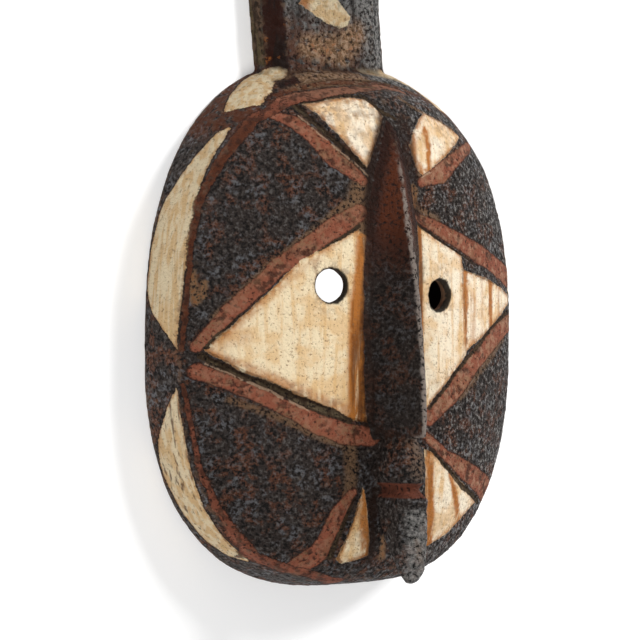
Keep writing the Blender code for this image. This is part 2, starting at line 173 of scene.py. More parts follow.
# %% Soft marks: how strong, how soft in millimetres, and the line with half widths
STAINS = {
    "beside the nose": (0.95, 3.5, ((-24.4, 27.8, 4), (-24.3, -2.4, 5.5), (-23.6, -44.7, 5.5))),
    "over the nose": (0.75, 2.5, ((-21.5, 65.2, 3), (-23, 45.9, 3.4), (-24.4, 27.8, 4.1))),
    "along the lower cut": (0.5, 2.5, ((-112, -2.9, 1.5), (-92, -11, 1.5), (-66.8, -23, 1.8),
                                       (-39, -35, 2.4), (-27.7, -40, 2.6))),
    "along the upper band": (0.4, 2, ((-102.5, 6, 2), (-91.7, 15.9, 1.4), (-67.1, 39.7, 1.5),
                                      (-39.5, 60.9, 1.3))),
    "left tip": (0.3, 5, ((-106, 0, 3), (-92, 6, 4))),
    "left wedge": (0.7, 3, ((-16.4, -87.3, 2.1), (-16, -105.5, 2.8), (-10.2, -127.2, 2.8))),
    "drip 1": (0.7, 1.2, ((63.5, 55.2, 1.8), (64.2, 28, 2.2), (63.1, 0.2, 0.8))),
    "drip 2": (0.4, 2, ((71.7, 30.5, 2.8), (71.8, -2.9, 2.8))),
    "drip 3": (0.4, 1, ((82.2, 40.5, 1), (82, 6.4, 1))),
    "drip 4": (0.75, 1.4, ((92.4, 40.6, 2.4), (93.4, 12.6, 2.2))),
    "drip 5": (0.4, 1.2, ((104, 37, 1.5), (105, 17, 1.5))),
    "right of the ridge": (0.85, 2, ((20.6, 71, 2.2), (21.2, 27.9, 2.5), (22.7, -33.2, 2.5))),
    "right forehead streak": (0.8, 1.2, ((33.2, 134, 1.6), (33.8, 119.9, 2), (32, 107.6, 1.6))),
    "right forehead edge": (0.6, 2.5, ((21.6, 125.7, 1.7), (19.6, 113.3, 2.5), (24.7, 106.1, 2.6))),
    "right wedge": (0.8, 2.5, ((32.1, -63.9, 2.6), (34.7, -94.7, 3), (40, -122.9, 3))),
    "right wedge streak": (0.8, 1.6, ((52.2, -79, 1.2), (61.1, -95.6, 2.4), (68, -110, 2))),
    "left forehead": (0.35, 3, ((-7, 128, 2.5), (-12, 114, 2.5))),
}
# Dark marks: dirt, and painted shadow beside the nose and the mouth, on their sides away from the light.
DIRT_AND_SHADOW = {
    "nose side": (0.9, 1.5, ((-17.8, 61, 1.6), (-18.6, 27.8, 2.4), (-18.4, -8.5, 2.4), (-17, -47.8, 2.4))),
    "nose top": (0.9, 2, ((-1, 140, 2), (-12, 112, 3), (-17, 86, 2.5), (-18, 66, 2))),
    "mouth side": (0.8, 2, ((-11.9, -88, 2.4), (-6, -130.5, 2.6))),
    "hole": (1.0, 1, ((17.5, 81.5, 2), (20.7, 80.6, 2))),
    "right of the nose": (0.8, 3, ((15.9, 136.6, 4), (15.5, 119.3, 5), (18, 103, 4))),
}
DUST = {
    "beside the nose": (0.65, 5, ((-22, 98, 3), (-25, 85.2, 4.7), (-21, 70, 4.8))),
    "above the left band": (0.55, 2, ((-107.6, 16.9, 1.5), (-78.4, 47.5, 1.9), (-45.6, 73.5, 2.4),
                                      (-29.2, 86, 3))),
    "along the left forehead band": (0.5, 2, ((-37, 119, 1.5), (-24, 106, 2))),
    "under the left cut": (0.5, 3, ((-28.7, -58, 3.3), (-26.6, -74.9, 3.3), (-27.1, -88.3, 2.7))),
    "under the left band": (0.45, 2, ((-100, -32, 1.2), (-72, -43, 1.4), (-47, -55, 1.6), (-28, -61, 2))),
    "ring": (0.95, 1, ((17.2, 94.9, 3.2), (17.7, 87, 3.2))),
    "beside the beard": (0.8, 1.2, ((-0.2, -117, 1.2), (2.7, -128.8, 1.6))),
    "left wedge patch": (0.6, 1.5, ((-35.5, -115.5, 1.5), (-37.8, -124, 2.4))),
    "left rim 1": (1.0, 1.5, ((-118.6, 44, 1.2), (-116.8, 27.5, 2))),
    "left rim 2": (1.0, 1.2, ((-112.5, 38, 1), (-113.5, 30, 1.2))),
    "over the arc": (0.6, 1, ((-49.1, 155.5, 0.8), (-22.7, 159, 0.8), (2.3, 161, 0.8))),
    # The shoulder's dust is strong: partly dust, partly painted light on the top, which faces up to the
    # light.
    "shoulder": (0.68, 5, ((-48, 161, 3), (-20, 165, 3), (8, 164, 2))),
    "right forehead band": (0.6, 2, ((24, 104, 1.5), (43.9, 111, 1.6), (66, 121, 1.4))),
    "right band": (0.5, 2.5, ((22, 83, 1.5), (38, 77, 1.5))),
    "right lower band": (0.4, 2, ((112, 4, 1.5), (84, -14, 1.8), (60, -32, 1.8))),
    "right edge": (0.6, 0.8, ((20.4, 151.9, 0.6), (29.7, 145.6, 0.7), (42, 141.5, 0.7), (66.9, 133, 1))),
    "plank base": (0.9, 8, ((-24, 184, 4), (0, 182, 7), (12, 192, 5))),
}
print(len(STAINS), "stains,", len(DIRT_AND_SHADOW), "dark marks of dirt and shadow and", len(DUST), "dusty ones")

# %% The same pattern measured on points


def depth_in_field(corners, x, y):
    """How deep a place is inside a polygon's sides, in metres. It is negative outside."""
    points = np.array(corners) * MM
    turn = np.sum(points[:, 0] * np.roll(points[:, 1], -1) - np.roll(points[:, 0], -1) * points[:, 1])
    points = points if turn > 0 else points[::-1]
    depth = np.full(np.shape(x), 1.0)
    for (x0, y0), (x1, y1) in zip(points, np.roll(points, -1, axis=0)):
        size = math.hypot(x1 - x0, y1 - y0)
        depth = np.minimum(depth, ((x1 - x0) * (y - y0) - (y1 - y0) * (x - x0)) / size)
    return depth


def depth_in_band(points, x, y):
    depth = np.full(np.shape(x), -1.0)
    for start, end in zip(points, points[1:]):
        x0, y0, w0 = (v * MM for v in start)
        x1, y1, w1 = (v * MM for v in end)
        size = (x1 - x0) ** 2 + (y1 - y0) ** 2
        t = np.clip(((x - x0) * (x1 - x0) + (y - y0) * (y1 - y0)) / size, 0, 1)
        gap = np.hypot(x - x0 - t * (x1 - x0), y - y0 - t * (y1 - y0))
        depth = np.maximum(depth, w0 + t * (w1 - w0) - gap)
    return depth


def ramp(value, start, end):
    t = np.clip((value - start) / (end - start), 0, 1)
    return t * t * (3 - 2 * t)


print("depth of the left eye in its field:",
      round(float(depth_in_field(FIELDS["eye left"], -0.0415, 0.0364)) / MM, 1), "mm")

# %% [markdown]
# ## The worn wood
# Knife and age leave a carved surface slightly wavy, its edges rounded and its thick black paint
# crusty. The CAD solid has crisp facets, so a copy is turned into an even skin of small cells
# with a voxel remesh, which later steps can push in and out. The CAD mesh itself is left alone.

# %% A fine skin over the solid
CELL = 1.0 * MM
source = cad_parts["mask"]
skin = bpy.data.objects.new("mask skin", source.data.copy())
bpy.context.scene.collection.objects.link(skin)
weld = skin.modifiers.new("weld", "WELD")
weld.merge_threshold = 0.01 * MM
remesh = skin.modifiers.new("even cells", "REMESH")
remesh.mode = "VOXEL"
remesh.voxel_size = CELL


def baked(obj, name):
    """The object's mesh with its modifiers carried out."""
    depsgraph = bpy.context.evaluated_depsgraph_get()
    mesh = bpy.data.meshes.new_from_object(obj.evaluated_get(depsgraph))
    mesh.name = name
    return mesh


fine = baked(skin, "mask fine")
skin.modifiers.clear()
skin.data = fine
print("cells of the skin:", len(fine.polygons))

# %% [markdown]
# ## Where each part of the carving is
# Paint and wear keep to the parts of the carving: the hollow and the backs stay bare, the plank
# has a side, a bevel and a front, and the nose and the lips stand proud of the dome. A point's
# place is compared with the formulas to say which part it is on.

# %% Measures of the plank and the eyes
NECK_HALF_WIDTH, PLANK_HALF_WIDTH = 0.0469, 0.0640
PLANK_BASE, PLANK_TOP = 0.1635, 0.6505
NECK_MIDDLE, NECK_LEAN = -0.0012, -0.0067
SIDE_THICKNESS = 0.0125
FLARE_END = 0.87  # share of the plank's height at which it is fully wide
LEAN_REACH = 0.074  # the stretch over which the plank leans to the side
BEVEL_START = 0.76  # share of the plank's half width at which the bevel begins
FOREHEAD_BULGE = 0.0040  # of the side wall under the plank
HOLLOW_OVAL = (0.1195, 0.1640, 0.1395)  # its half width, and its reach up and down
EYES = ((-0.0415, 0.0364, 0.0205), (0.0396, 0.0310, 0.0193))
NOSE_BOTTOM, MOUTH, BEARD_FREE = -0.0560, -0.0872, -0.0960


def places(mesh):
    """Points of a mesh as three rows: across, along from the waist, and up."""
    flat = np.empty(len(mesh.vertices) * 3)
    mesh.vertices.foreach_get("co", flat)
    x, y, z = flat.reshape(-1, 3).T
    return x, y - WAIST, z


def parts_of_carving(x, y, z):
    """For each part of the carving, 1 where a point is on it and 0 elsewhere."""
    up = np.clip(z / EDGE_HEIGHT, 0, 1)
    outline_up = RIM_UP + (EDGE_UP - RIM_UP) * up + 4 * FOREHEAD_BULGE * up * (1 - up)
    outline_width = RIM_HALF_WIDTH + (EDGE_HALF_WIDTH - RIM_HALF_WIDTH) * up
    rise = z - face_height(x, y)
    in_hollow = (rise < -0.6 * WALL) & (oval_share(x, y, *HOLLOW_OVAL) < 1) & (y < 0.165)
    climb = np.clip((y - RIM_UP) / (PLANK_TOP - RIM_UP), 0, 1)
    half_width = NECK_HALF_WIDTH + (PLANK_HALF_WIDTH - NECK_HALF_WIDTH) * ramp(climb, 0, FLARE_END)
    span = (x - NECK_MIDDLE - NECK_LEAN * ramp(y, PLANK_BASE, PLANK_BASE + LEAN_REACH)) / half_width
    plank = ramp(oval_share(x, y, outline_width, outline_up, 1.0), 1.012, 1.03) * (y > 0.1)
    plank = plank * ramp(1.12 - np.abs(span), 0, 0.05)
    bore = np.zeros_like(x)
    for eye_x, eye_y, width in EYES:
        away = np.hypot((x - eye_x) / 1.03, y - eye_y)
        wall_of_bore = (rise < -0.5 * MM) & (away < 0.62 * width)
        edge_of_bore = ramp(0.5 * width + 0.8 * MM - away, 0, 0.7 * MM)
        bore = np.maximum(bore, np.maximum(wall_of_bore, edge_of_bore))
    bare = np.where(in_hollow | (z < 0.8 * MM), 1.0, 0.0)
    proud = ramp(rise, 1.2 * MM, 2.4 * MM) * (z > EDGE_HEIGHT + 0.012) * (1 - plank) * (1 - bare)
    return {
        "bare": bare,
        "bore": bore,
        "plank": plank,
        "plank side": plank * ramp(SIDE_THICKNESS - z, -0.6 * MM, 0.6 * MM),
        "plank bevel": plank * ramp(-BEVEL_START - span, -0.02, 0.02)
                       * ramp(z - SIDE_THICKNESS, -0.6 * MM, 0.6 * MM),
        "wall": ramp(edge_height(y) - z, -0.8 * MM, 0.8 * MM) * (1 - plank),
        "nose": proud * ramp(y, NOSE_BOTTOM - 1 * MM, NOSE_BOTTOM + 1 * MM),
        "mouth": proud * ramp(y, NOSE_BOTTOM + 1 * MM, NOSE_BOTTOM - 1 * MM),
    }


def keep(mesh, name, values):
    layer = mesh.attributes.get(name) or mesh.attributes.new(name, "FLOAT", "POINT")
    layer.data.foreach_set("value", np.asarray(values, dtype=np.float32))


x, y, z = places(fine)
on = parts_of_carving(x, y, z)
for name, values in on.items():
    print(f"{name}: {100 * values.mean():.1f}% of the points")

# %% [markdown]
# ## Where the knife and the paint went
# Each point of the skin is told how soft its edges are worn, how thick the crust of paint is and
# how deep a scratch goes. The numbers are stored on the mesh, and the node tree reads them.

# %% Softness, crust and cuts on the skin
SCRATCH_DEPTH, LIP_HEIGHT = 0.8 * MM, 0.4 * MM
ARRIS_WIDTH = 6 * MM  # how far the rounding reaches on both sides of the face's edge
flat_face = np.prod([1 - on[part] for part in ("plank", "bare", "nose", "mouth", "wall")], axis=0)
white = np.max([depth_in_field(corners, x, y) for corners in FIELDS.values()], axis=0)
red = np.max([depth_in_band(line, x, y) for line in BANDS.values()], axis=0)
cuts = np.max([depth_in_band(line, x, y) for line in CUTS.values()], axis=0)
lips = np.max([depth_in_band(line, x, y) for line in LIT_LIPS.values()], axis=0)
pale = flat_face * ramp(white, -0.4 * MM, 0.8 * MM)
ruddy = flat_face * ramp(red, -0.4 * MM, 0.8 * MM) * (1 - pale)
near_edge = oval_share(x, y, EDGE_HALF_WIDTH, EDGE_UP, EDGE_DOWN) > 0.9
arris = np.exp(-(((z - edge_height(y)) / ARRIS_WIDTH) ** 2)) * near_edge
keep(fine, "soft", np.clip(0.10 + 0.90 * arris * (1 - on["plank"]) + 0.2 * on["mouth"], 0, 1))
keep(fine, "crust", (1 - on["bare"]) * (1 - 0.85 * pale) * (1 - 0.5 * ruddy)
     * (1 - 0.45 * on["nose"]) * (1 - 0.6 * on["plank side"]) * (1 - 0.5 * on["wall"]))
keep(fine, "cut", flat_face * (SCRATCH_DEPTH * ramp(cuts, -0.6 * MM, 1.0 * MM)
                               - LIP_HEIGHT * ramp(lips, -0.9 * MM, 0.4 * MM)))
keep(fine, "gouged", on["bare"] * (z > 2 * MM))
print("white covers", round(100 * pale.mean()), "% and red", round(100 * ruddy.mean()), "% of the skin")

# %% [markdown]
# ## Tool marks, crust and rounded edges with Geometry Nodes
# Wear follows the surface, so it is a tree of nodes: first the places are blurred where edges are
# worn round, then every point moves along its normal by the scratch, by the broad facets of the
# adze, by the scoops of the gouge in the hollow and by the lumps of the crust. Its sizes are named
# inputs, so each can be tried.

# %% One small function that adds a node


def add(tree, kind, inputs=None, out=0, **settings):
    """Adds a node, with its settings and links, and returns one of its outputs."""
    node = tree.nodes.new(kind)
    for name, value in settings.items():
        setattr(node, name, value)
    for key, value in (inputs or {}).items():
        if isinstance(value, bpy.types.NodeSocket):
            tree.links.new(value, node.inputs[key])
        else:
            node.inputs[key].default_value = value
    return node.outputs[out] if node.outputs else node


# %% Inputs of the tree
WEAR = {
    "Rounding steps": ("NodeSocketInt", 14),
    "Adze mark width": ("NodeSocketFloat", 26 * MM),
    "Adze mark depth": ("NodeSocketFloat", 1.4 * MM),
    "Gouge mark width": ("NodeSocketFloat", 15 * MM),
    "Gouge mark depth": ("NodeSocketFloat", 1.6 * MM),
    "Crust lump width": ("NodeSocketFloat", 4.2 * MM),
    "Crust lump depth": ("NodeSocketFloat", 2.4 * MM),
    "Crack width": ("NodeSocketFloat", 7 * MM),
    "Crack depth": ("NodeSocketFloat", 0.8 * MM),
    "Seed": ("NodeSocketFloat", 4.0),
    "Finish": ("NodeSocketMaterial", None),
}
wear_tree = bpy.data.node_groups.new("worn carved wood", "GeometryNodeTree")
wear_tree.interface.new_socket("Geometry", in_out="INPUT", socket_type="NodeSocketGeometry")
for name, (kind, value) in WEAR.items():
    wear_tree.interface.new_socket(name, in_out="INPUT", socket_type=kind)
wear_tree.interface.new_socket("Geometry", in_out="OUTPUT", socket_type="NodeSocketGeometry")
given = wear_tree.nodes.new("NodeGroupInput").outputs
result = wear_tree.nodes.new("NodeGroupOutput").inputs
print(len(WEAR), "inputs")

# %% Round the edges
place = add(wear_tree, "GeometryNodeInputPosition")
marks = {
    name: add(wear_tree, "GeometryNodeInputNamedAttribute", {"Name": name}, data_type="FLOAT")
    for name in ("soft", "crust", "cut", "gouged")
}
blurred = add(wear_tree, "GeometryNodeBlurAttribute",
              {"Value": place, "Iterations": given["Rounding steps"], "Weight": marks["soft"]},
              data_type="FLOAT_VECTOR")
rounded = add(wear_tree, "GeometryNodeSetPosition", {"Geometry": given["Geometry"], "Position": blurred})

# %% Push the surface in and out


def waves(width, depth, share, detail, texture="ShaderNodeTexNoise", folded=False):
    """A height that rolls over a given width and depth, where a share says how much."""
    scale = add(wear_tree, "ShaderNodeMath", {0: 1.0, 1: width}, operation="DIVIDE")
    if texture == "ShaderNodeTexNoise":
        inputs = {"Vector": place, "W": given["Seed"], "Scale": scale, "Detail": detail}
        height = add(wear_tree, texture, inputs, noise_dimensions="4D")
    else:
        inputs = {"Vector": place, "W": given["Seed"], "Scale": scale, "Smoothness": 0.25}
        height = add(wear_tree, texture, inputs, voronoi_dimensions="4D", feature="SMOOTH_F1")
    height = add(wear_tree, "ShaderNodeMath", {0: height, 1: 0.5}, operation="SUBTRACT")
    if folded:
        height = add(wear_tree, "ShaderNodeMath", {0: height}, operation="ABSOLUTE")
        height = add(wear_tree, "ShaderNodeMath", {0: height, 1: -0.5}, operation="ADD")
    height = add(wear_tree, "ShaderNodeMath", {0: height, 1: depth}, operation="MULTIPLY")
    return add(wear_tree, "ShaderNodeMath", {0: height, 1: share}, operation="MULTIPLY")


push = waves(given["Adze mark width"], given["Adze mark depth"], 1.0, 1.0)
for height in (
    waves(given["Gouge mark width"], given["Gouge mark depth"], marks["gouged"], 0.0,
          texture="ShaderNodeTexVoronoi"),
    waves(given["Crust lump width"], given["Crust lump depth"], marks["crust"], 4.0),
    waves(given["Crack width"], given["Crack depth"], marks["crust"], 3.0, folded=True),
):
    push = add(wear_tree, "ShaderNodeMath", {0: push, 1: height}, operation="ADD")
push = add(wear_tree, "ShaderNodeMath", {0: push, 1: marks["cut"]}, operation="SUBTRACT")
normal = add(wear_tree, "GeometryNodeInputNormal")
offset = add(wear_tree, "ShaderNodeVectorMath", {0: normal, "Scale": push}, operation="SCALE")
moved = add(wear_tree, "GeometryNodeSetPosition", {"Geometry": rounded, "Offset": offset})
moved = add(wear_tree, "GeometryNodeRealizeInstances", {"Geometry": moved})
moved = add(wear_tree, "GeometryNodeSetMaterial", {"Geometry": moved, "Material": given["Finish"]})
wear_tree.links.new(moved, result[0])
print(len(wear_tree.nodes), "nodes wear the surface")

# %% Carry the wear out
paint = bpy.data.materials.new("earth paint on carved wood")
TRIANGLES = 192_000


def set_inputs(modifier, values):
    for item in modifier.node_group.interface.items_tree:
        if item.in_out == "INPUT" and item.name in values:
            modifier[item.identifier] = values[item.name]


wear = skin.modifiers.new("wear", "NODES")
wear.node_group = wear_tree
set_inputs(wear, {name: value for name, (_, value) in WEAR.items()} | {"Finish": paint})
fewer = skin.modifiers.new("fewer triangles", "DECIMATE")
fewer.ratio = min(1.0, TRIANGLES / (2 * len(fine.polygons)))
fewer.use_collapse_triangulate = True
piece_mesh = baked(skin, "painted mask")
bpy.data.objects.remove(skin)
piece = bpy.data.objects.new("painted_mask", piece_mesh)
bpy.context.scene.collection.objects.link(piece)

points = np.empty(len(piece_mesh.vertices) * 3)
piece_mesh.vertices.foreach_get("co", points)
points = np.clip(points.reshape(-1, 3), np.array(low) + 1e-5, np.array(high) - 1e-5)
piece_mesh.vertices.foreach_set("co", points.ravel())
piece_mesh.update()
print("triangles of the piece:", len(piece_mesh.polygons))

# %% [markdown]
# ## Edges that hands have rubbed, and corners made darker
# On an old mask the paint is thin on every edge, and here the corners are made darker. A point's
# distance from the average of its neighbours, taken over a few millimetres, tells the two apart.

# %% Rubbed edges and darker corners


def bulge(mesh, steps):
    """How far each point stands out from the surface around it, in metres."""
    count = len(mesh.vertices)
    ends = np.empty(len(mesh.edges) * 2, dtype=np.int32)
    mesh.edges.foreach_get("vertices", ends)
    start, end = ends.reshape(-1, 2).T
    normals = np.empty(count * 3)
    mesh.vertex_normals.foreach_get("vector", normals)
    rows = np.empty(count * 3)
    mesh.vertices.foreach_get("co", rows)
    rows = rows.reshape(-1, 3).T
    even = rows.copy()
    neighbours = np.maximum(np.bincount(start, minlength=count) + np.bincount(end, minlength=count), 1)
    for _ in range(steps):
        even = np.array([
            (np.bincount(start, row[end], count) + np.bincount(end, row[start], count)) / neighbours
            for row in even
        ])
    return np.sum((rows - even) * normals.reshape(-1, 3).T, axis=0)


def soft_marks(marks, x, y):
    """The strongest of some soft marks at each place, from 0 to 1."""
    return np.max([
        strength * ramp(depth_in_band(line, x, y), -soft * MM, 0.5 * soft * MM)
        for strength, soft, line in marks.values()
    ], axis=0)


x, y, z = places(piece_mesh)
on = parts_of_carving(x, y, z)
ROUNDS = 14  # of averaging, which reach a few millimetres
stands_out = bulge(piece_mesh, ROUNDS)
rubbed = ramp(stands_out, 0.25 * MM, 0.9 * MM)
corner = ramp(-stands_out, 0.15 * MM, 0.7 * MM)
regions = on | {
    "rubbed": rubbed * (1 - on["mouth"]) * (1 - on["nose"]),
    "ridge": on["nose"] * ramp(stands_out, 0.8 * MM, 1.2 * MM),
    "corner": corner,
    "stain": soft_marks(STAINS, x, y),
    "dark brown": soft_marks(DIRT_AND_SHADOW, x, y),
    "dust": soft_marks(DUST, x, y),
}
for name, values in regions.items():
    keep(piece_mesh, name, values)
print(f"{100 * rubbed.mean():.1f}% is rubbed and {100 * corner.mean():.1f}% is in corners")

# %% [markdown]
# ## The finish: earth paints on old wood
# The paint is built up as the painter did: black from soot and bark over all, red earth bands,
# white earth fields, then the dark scratches along their edges. Brown stains creep out from the
# nose and run down in drips. Each colour is an sRGB hex value, and one function turns it into the
# linear numbers that the shader needs.

# %% Colours


def earth(hex_value):
    """A linear colour from an sRGB hex value."""
    channels = [int(hex_value[i : i + 2], 16) / 255 for i in (1, 3, 5)]
    linear = [c / 12.92 if c <= 0.04045 else ((c + 0.055) / 1.055) ** 2.4 for c in channels]
    return (*linear, 1.0)


COLOURS = {
    "soot": "#382F2B",
    "soot worn brown": "#633A26",
    "soot grey sheen": "#5E5F63",
    "soot glint": "#A19C97",
    "crevice shade": "#0D0A08",
    "red earth": "#92543E",
    "red earth pale and lit": "#A87A60",
    "red earth dark": "#40251A",
    "arc brown": "#5E3018",
    "white earth": "#E8D5B2",
    "white earth lit": "#F0E3CE",
    "white earth aged": "#D3A568",
    "white earth pits": "#846040",
    "stain": "#A9682C",
    "stain dark": "#4F2710",
    "scratch": "#4A3A2A",
    "scratched wood": "#7A6A50",
    "lip highlight": "#BB9C80",
    "dust": "#8C6B4E",
    "wear orange": "#A8622B",
    "dark brown": "#2A160B",
    "nose black": "#1F1916",
    "nose brown": "#331508",
    "nose warm": "#5E2B0E",
    "ridge grey": "#8C8077",
    "rubbed wood": "#846852",
    "bare wood": "#7A6048",
    "bare wood dark": "#4F3B2A",
    "charcoal": "#454341",
    "charcoal grey": "#83827F",
    "bevel": "#230F07",
    "bevel red": "#36160A",
    "side wood": "#54472F",
    "burnt and shaded": "#15100D",
    "mouth red": "#7A4330",
}
COLOURS = {name: earth(value) for name, value in COLOURS.items()}
print(len(COLOURS), "earths and woods")

# %% [markdown]
# ## Noise that the layers share
# Five noises give all the unevenness, at the sizes that the real surface shows: patches of 14 mm,
# blotches of 4.5 mm, lumps of 2.4 mm, grains of 1.3 mm, and streaks that run down the mask as rain
# and the wood's grain do. The three channels of a coloured noise are three patterns for the price
# of one.

# %% Coordinates and the shared noises
# Matt earth paint, brushed by hand over knife-cut wood: dull, with soft uneven edges.
paint.use_nodes = True
pt = paint.node_tree
pt.nodes.clear()
point = add(pt, "ShaderNodeTexCoord", out="Object")
STRETCH = (1, 0.09, 1)  # makes a streak eleven times as long as it is wide
long = add(pt, "ShaderNodeVectorMath", {0: point, 1: STRETCH}, operation="MULTIPLY")
# Each noise as where it is read, the size of what it draws in millimetres, and its detail
NOISES = {"patch": (point, 14, 3.0), "blotch": (point, 4.5, 3.0),
          "grain": (point, 1.3, 2.0), "streak": (long, 4.0, 4.0)}
noises = {
    name: add(pt, "ShaderNodeTexNoise",
              {"Vector": where, "Scale": 1 / (size * MM), "Detail": detail}, out="Color")
    for name, (where, size, detail) in NOISES.items()
}
patch, blotch, grain, streak = (
    add(pt, "ShaderNodeSeparateColor", {0: noise}).node.outputs for noise in noises.values()
)
LUMP_SIZE = 2.4 * MM
lumps = add(pt, "ShaderNodeTexNoise",
            {"Vector": point, "Scale": 1 / LUMP_SIZE, "Detail": 4.0, "Roughness": 0.66})

# %% A hand's wobble on the drawn lines
split = add(pt, "ShaderNodeSeparateXYZ", {0: point}).node.outputs
along = add(pt, "ShaderNodeMath", {0: split["Y"], 1: WAIST}, operation="SUBTRACT")
AVERAGE = (0.5, 0.5, 0.5)  # of a coloured noise
# The width of the strip in which each noise moves a drawn line, in millimetres
SWAY = {"patch": 3.0, "blotch": 1.5, "grain": 1.6}
hand = None
for name, width in SWAY.items():
    sway = add(pt, "ShaderNodeVectorMath", {0: noises[name], 1: AVERAGE}, operation="SUBTRACT")
    sway = add(pt, "ShaderNodeVectorMath", {0: sway, "Scale": width * MM}, operation="SCALE")
    hand = sway if hand is None else add(pt, "ShaderNodeVectorMath", {0: hand, 1: sway},
                                         operation="ADD")


def drawn_on(across, up):
    """A place in the plane that a pattern is drawn on, with the hand's wobble and a third 1."""
    flat = add(pt, "ShaderNodeCombineXYZ", {0: across, 1: up, 2: 0.0})
    flat = add(pt, "ShaderNodeVectorMath", {0: flat, 1: hand}, operation="ADD")
    flat = add(pt, "ShaderNodeVectorMath", {0: flat, 1: (1, 1, 0)}, operation="MULTIPLY")
    return add(pt, "ShaderNodeVectorMath", {0: flat, 1: (0, 0, 1)}, operation="ADD")


drawn = drawn_on(split["X"], along)
print(len(pt.nodes), "nodes before the pattern")

# %% [markdown]
# A side of a field is one dot product: with a third coordinate that is always 1, it gives the
# distance from the side's line. The least of a field's sides is the depth inside it. A band needs
# the nearest point of each stretch, and the greatest of its stretches counts.

# %% Fields and bands as nodes


def chain(operation, values):
    """One value from many, such as the least of them, taken in one by one as they are made."""
    values = iter(values)
    total = next(values)
    for value in values:
        total = add(pt, "ShaderNodeMath", {0: total, 1: value}, operation=operation)
    return total


def side_depth(a, b, where):
    """How far a place is to the left of the line from one corner to the next."""
    run = (b - a).normalized()
    side = (-run.y, run.x, run.y * a.x - run.x * a.y)
    return add(pt, "ShaderNodeVectorMath", {0: where, 1: side}, out="Value", operation="DOT_PRODUCT")


def field_depth(corners, where):
    """How deep a place is inside a polygon."""
    points = [Vector(c) * MM for c in corners]
    turn = sum(a.x * b.y - b.x * a.y for a, b in zip(points, points[1:] + points[:1]))
    if turn < 0:
        points.reverse()
    sides = zip(points, points[1:] + points[:1])
    return chain("MINIMUM", (side_depth(a, b, where) for a, b in sides))


def stretch_depth(start, end, where):
    """How deep a place is inside one stretch of a band."""
    a, b = Vector((start[0] * MM, start[1] * MM, 1)), Vector((end[0] * MM, end[1] * MM, 1))
    run = b - a
    rule = (*(run.xy / run.length_squared), -(a.xy @ run.xy) / run.length_squared)
    t = add(pt, "ShaderNodeVectorMath", {0: where, 1: rule}, out="Value", operation="DOT_PRODUCT")
    t = add(pt, "ShaderNodeMath", {0: t, 1: 0.0}, operation="ADD", use_clamp=True)
    near = add(pt, "ShaderNodeVectorMath", {0: run, "Scale": t}, operation="SCALE")
    near = add(pt, "ShaderNodeVectorMath", {0: near, 1: a}, operation="ADD")
    gap = add(pt, "ShaderNodeVectorMath", {0: where, 1: near}, out="Value", operation="DISTANCE")
    half = add(pt, "ShaderNodeMath", {0: t, 1: (end[2] - start[2]) * MM, 2: start[2] * MM},
               operation="MULTIPLY_ADD")
    return add(pt, "ShaderNodeMath", {0: half, 1: gap}, operation="SUBTRACT")


def band_depth(points, where):
    stretches = zip(points, points[1:])
    return chain("MAXIMUM", (stretch_depth(start, end, where) for start, end in stretches))


def deepest(measure, shapes):
    """How deep a place is inside the nearest of some shapes."""
    return chain("MAXIMUM", (measure(shape, drawn) for shape in shapes.values()))


white_in = deepest(field_depth, FIELDS)
red_in = deepest(band_depth, BANDS)
arc_in = deepest(band_depth, ARCS)
cut_in = deepest(band_depth, CUTS)
lip_in = deepest(band_depth, LIT_LIPS)
nose_in = field_depth(NOSE_PAINT, drawn)
print(len(pt.nodes), "nodes with the pattern")

# %% [markdown]
# ## From bare wood up to the last drip
# A painted surface is a stack. Every layer says how much it covers, its colour and how rough it
# is, and the stack is built from the wood up.

# %% Layers


def share(value, start, end):
    """How much covers, from 0 at one value to 1 at another."""
    return add(pt, "ShaderNodeMapRange", {"Value": value, "From Min": start, "From Max": end},
               interpolation_type="SMOOTHSTEP")


def both(*values):
    """Where all of some things are true at once."""
    return chain("MULTIPLY", values)


def lay(under, cover, colour, rough):
    """Lays a paint over the surface below it."""
    if isinstance(colour, str):
        colour = COLOURS[colour]
    return {
        "colour": add(pt, "ShaderNodeMix", {0: cover, 6: under["colour"], 7: colour}, out=2,
                      data_type="RGBA"),
        "rough": add(pt, "ShaderNodeMix", {0: cover, 2: under["rough"], 3: rough}),
    }


def told(name):
    """A number that the mesh carries at each of its points."""
    return add(pt, "ShaderNodeAttribute", out="Fac", attribute_name=name)


# %% Black crust
crust = told("crust")
dust = told("dust")
soot = {"colour": COLOURS["soot"], "rough": 0.55}
soot = lay(soot, both(share(patch["Red"], 0.46, 0.58), share(blotch["Red"], 0.38, 0.54),
                      share(lumps, 0.42, 0.52), 1.1), "soot worn brown", 0.7)
# Painted sheen: grey on the tops of the lumps, in patches.
soot = lay(soot, both(share(patch["Green"], 0.46, 0.60), share(blotch["Green"], 0.42, 0.60),
                      share(lumps, 0.46, 0.56), 1.1), "soot grey sheen", 0.45)
# Painted shade: the hollows between the lumps are near black.
soot = lay(soot, both(share(lumps, 0.49, 0.39), 0.9), "crevice shade", 0.8)
# The right side faces the light: the painted glints on the lump tops are strongest there, and the red and
# white are paler there, as painted light.
lit_side = share(split["X"], -0.03, 0.07)
soot = lay(soot, both(share(lumps, 0.53, 0.64), share(lit_side, -0.6, 1.0), 0.8), "soot glint", 0.40)
soot = lay(soot, both(dust, share(lumps, 0.38, 0.50), 1.4), "dust", 0.85)
soot = lay(soot, both(share(dust, 0.7, 0.85), share(lumps, 0.49, 0.55)), "wear orange", 0.8)

